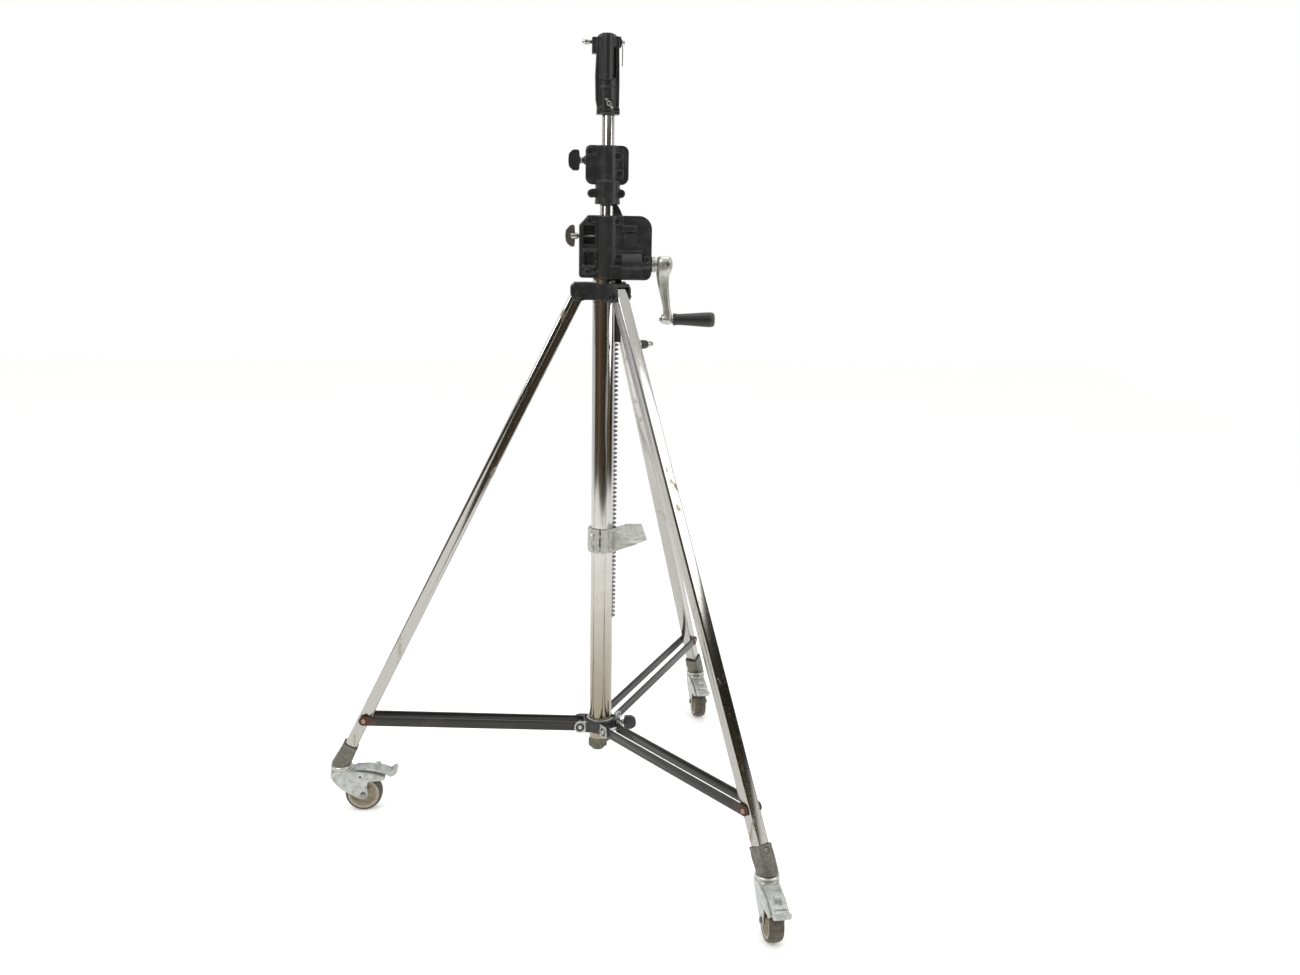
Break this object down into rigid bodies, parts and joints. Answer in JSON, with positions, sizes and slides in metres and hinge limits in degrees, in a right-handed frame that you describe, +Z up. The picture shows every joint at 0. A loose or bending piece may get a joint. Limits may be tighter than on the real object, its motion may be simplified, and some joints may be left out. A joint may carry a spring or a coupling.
{
  "type": "crank lighting stand",
  "caption": "Steel lighting stand on folding legs with braked casters; a crank and worm gear wind a toothed riser up the column, and an inner riser carries a lamp socket.",
  "frame": {"origin": "on the floor, under the column's axis", "axes": "+Z up the column; the crank shaft and the toothed rack are on the +X side; the first leg points along -X"},
  "size_m": [0.8959, 1.1216, 1.622],
  "materials": {
    "chrome_tube": "worn chrome plating",
    "black_casting": "satin black powder coat",
    "black_steel": "black finish, worn and rusty at the ends",
    "cast_alloy": "bare grey alloy casting",
    "zinc_plate": "dull zinc plating",
    "machined_steel": "machined steel, greased",
    "bronze": "machined bronze",
    "nylon": "off-white nylon",
    "wheel_plastic": "aged beige plastic",
    "tyre_rubber": "worn grey-black rubber",
    "grip_rubber": "worn black rubber",
    "plug_plastic": "grey-green plastic"
  },
  "bodies": {
    "base": {"column_tube": "chrome_tube", "column_end_plug": "plug_plastic", "rack_guard": "black_casting", "leg_yoke": "black_casting", "gearbox_front_cover": "black_casting", "gearbox_rear_cover": "black_casting", "riser_guide_bush": "nylon", "worm_bush": "bronze", "foot_step": "cast_alloy", "step_clamp": "cast_alloy", "leg_pivot_bolt_1": "black_steel", "leg_pivot_bolt_2": "black_steel", "leg_pivot_bolt_3": "black_steel"},
    "riser_1": {"riser_1_tube": "chrome_tube", "riser_1_foot_bush": "nylon", "rack": "machined_steel", "riser_collar": "black_casting"},
    "riser_2": {"riser_2_tube": "chrome_tube", "top_socket": "black_casting"},
    "crank": {"worm_shaft": "machined_steel", "crank_arm": "cast_alloy"},
    "crank_grip": {"crank_grip": "grip_rubber"},
    "gear_train": {"worm_wheel": "bronze", "pinion_shaft": "machined_steel"},
    "gearbox_knob": {"gearbox_lock_knob": "chrome_tube"},
    "collar_knob": {"collar_lock_knob": "black_casting"},
    "hub_knob": {"hub_lock_knob": "black_casting"},
    "socket_wing": {"socket_wing_bolt": "chrome_tube"},
    "cross_pin": {"socket_cross_pin": "chrome_tube"},
    "hub": {"strut_hub": "zinc_plate"},
    "leg_1": {"leg_tube_1": "chrome_tube", "leg_foot_1": "zinc_plate", "strut_pin_1": "machined_steel"},
    "leg_2": {"leg_tube_2": "chrome_tube", "leg_foot_2": "zinc_plate", "strut_pin_2": "machined_steel"},
    "leg_3": {"leg_tube_3": "chrome_tube", "leg_foot_3": "zinc_plate", "strut_pin_3": "machined_steel"},
    "strut_1": {"strut_left_1": "black_steel", "strut_right_1": "black_steel"},
    "strut_2": {"strut_left_2": "black_steel", "strut_right_2": "black_steel"},
    "strut_3": {"strut_left_3": "black_steel", "strut_right_3": "black_steel"},
    "caster_1": {"caster_fork_1": "zinc_plate", "caster_axle_1": "machined_steel"},
    "caster_2": {"caster_fork_2": "zinc_plate", "caster_axle_2": "machined_steel"},
    "caster_3": {"caster_fork_3": "zinc_plate", "caster_axle_3": "machined_steel"},
    "wheel_1": {"caster_wheel_1": "wheel_plastic", "caster_tyre_1": "tyre_rubber"},
    "wheel_2": {"caster_wheel_2": "wheel_plastic", "caster_tyre_2": "tyre_rubber"},
    "wheel_3": {"caster_wheel_3": "wheel_plastic", "caster_tyre_3": "tyre_rubber"},
    "brake_1": {"brake_pedal_1": "zinc_plate"},
    "brake_2": {"brake_pedal_2": "zinc_plate"},
    "brake_3": {"brake_pedal_3": "zinc_plate"}
  },
  "joints": [
    {"name": "crank_turn", "type": "hinge", "parent": "base", "child": "crank", "pos_m": [0.1, -0.0165, 1.18725], "axis": [-1, 0, 0], "range_deg": [0, 24480]},
    {"name": "gear_turn", "type": "hinge", "parent": "base", "child": "gear_train", "pos_m": [0.0495, 0, 1.236], "axis": [0, 1, 0], "range_deg": [0, 1958.5]},
    {"name": "riser_1_lift", "type": "slide", "parent": "base", "child": "riser_1", "axis": [0, 0, 1], "range_m": [0, 0.76916]},
    {"name": "riser_2_lift", "type": "slide", "parent": "riser_1", "child": "riser_2", "axis": [0, 0, 1], "range_m": [0, 0.8]},
    {"name": "crank_grip_spin", "type": "hinge", "parent": "crank", "child": "crank_grip", "pos_m": [0.16, -0.0165, 1.07825], "axis": [1, 0, 0], "continuous": true},
    {"name": "gearbox_knob_turn", "type": "hinge", "parent": "base", "child": "gearbox_knob", "pos_m": [-0.05, 0, 1.241], "axis": [1, 0, 0], "range_deg": [-540, 0]},
    {"name": "collar_knob_turn", "type": "hinge", "parent": "riser_1", "child": "collar_knob", "pos_m": [-0.05, 0, 1.387], "axis": [1, 0, 0], "range_deg": [-540, 0]},
    {"name": "socket_wing_turn", "type": "hinge", "parent": "riser_2", "child": "socket_wing", "pos_m": [0.003, -0.03, 1.492], "axis": [0, 1, 0], "range_deg": [-540, 0]},
    {"name": "cross_pin_pull", "type": "slide", "parent": "riser_2", "child": "cross_pin", "axis": [1, 0, 0], "range_m": [-0.048, 0]},
    {"name": "leg_1_fold", "type": "hinge", "parent": "base", "child": "leg_1", "pos_m": [-0.0549, 0, 1.1249], "axis": [0, -1, 0], "range_deg": [0, 24.06]},
    {"name": "leg_2_fold", "type": "hinge", "parent": "base", "child": "leg_2", "pos_m": [0.02745, -0.04754, 1.1249], "axis": [0.866, 0.5, 0], "range_deg": [0, 24.08]},
    {"name": "leg_3_fold", "type": "hinge", "parent": "base", "child": "leg_3", "pos_m": [0.02745, 0.04754, 1.1249], "axis": [-0.866, 0.5, 0], "range_deg": [0, 24.08]},
    {"name": "hub_slide", "type": "slide", "parent": "base", "child": "hub", "axis": [0, 0, 1], "range_m": [0, 0.38042]},
    {"name": "strut_1_fold", "type": "hinge", "parent": "hub", "child": "strut_1", "pos_m": [-0.0453, 0, 0.1889], "axis": [0, -1, 0], "range_deg": [0, 86.33]},
    {"name": "strut_2_fold", "type": "hinge", "parent": "hub", "child": "strut_2", "pos_m": [0.02265, -0.03923, 0.1889], "axis": [0.866, 0.5, 0], "range_deg": [0, 86.33]},
    {"name": "strut_3_fold", "type": "hinge", "parent": "hub", "child": "strut_3", "pos_m": [0.02265, 0.03923, 0.1889], "axis": [-0.866, 0.5, 0], "range_deg": [0, 86.33]},
    {"name": "hub_knob_turn", "type": "hinge", "parent": "hub", "child": "hub_knob", "pos_m": [0.05, -0.014, 0.1949], "axis": [1, 0, 0], "range_deg": [0, 540]},
    {"name": "caster_1_swivel", "type": "hinge", "parent": "leg_1", "child": "caster_1", "pos_m": [-0.5635, 0, 0.1], "axis": [0, 0, 1], "continuous": true},
    {"name": "caster_2_swivel", "type": "hinge", "parent": "leg_2", "child": "caster_2", "pos_m": [0.28175, -0.48801, 0.1], "axis": [0, 0, 1], "continuous": true},
    {"name": "caster_3_swivel", "type": "hinge", "parent": "leg_3", "child": "caster_3", "pos_m": [0.28175, 0.48801, 0.1], "axis": [0, 0, 1], "continuous": true},
    {"name": "wheel_1_roll", "type": "hinge", "parent": "caster_1", "child": "wheel_1", "pos_m": [-0.5175, 0, 0.04], "axis": [0, 1, 0], "continuous": true},
    {"name": "wheel_2_roll", "type": "hinge", "parent": "caster_2", "child": "wheel_2", "pos_m": [0.28416, -0.53394, 0.04], "axis": [0.9986, 0.0523, 0], "continuous": true},
    {"name": "wheel_3_roll", "type": "hinge", "parent": "caster_3", "child": "wheel_3", "pos_m": [0.28416, 0.44207, 0.04], "axis": [0.9986, 0.0523, 0], "continuous": true},
    {"name": "brake_1_pedal", "type": "hinge", "parent": "caster_1", "child": "brake_1", "pos_m": [-0.5305, 0, 0.101], "axis": [0, 1, 0], "range_deg": [-8, 0]},
    {"name": "brake_2_pedal", "type": "hinge", "parent": "caster_2", "child": "brake_2", "pos_m": [0.28348, -0.52096, 0.101], "axis": [0.9986, 0.0523, 0], "range_deg": [-8, 0]},
    {"name": "brake_3_pedal", "type": "hinge", "parent": "caster_3", "child": "brake_3", "pos_m": [0.28348, 0.45505, 0.101], "axis": [0.9986, 0.0523, 0], "range_deg": [-8, 0]}
  ],
  "couplings": [
    {"joint": "gear_turn", "follows": "crank_turn", "ratio": 0.08},
    {"joint": "riser_1_lift", "follows": "crank_turn", "m_per_rad": 0.0018},
    {"joint": "leg_2_fold", "follows": "leg_1_fold", "ratio": 1},
    {"joint": "leg_3_fold", "follows": "leg_1_fold", "ratio": 1},
    {"joint": "hub_slide", "follows": "leg_1_fold", "m_per_rad": 0.90545},
    {"joint": "strut_1_fold", "follows": "leg_1_fold", "ratio": 3.5859},
    {"joint": "strut_2_fold", "follows": "leg_1_fold", "ratio": 3.5859},
    {"joint": "strut_3_fold", "follows": "leg_1_fold", "ratio": 3.5859}
  ]
}
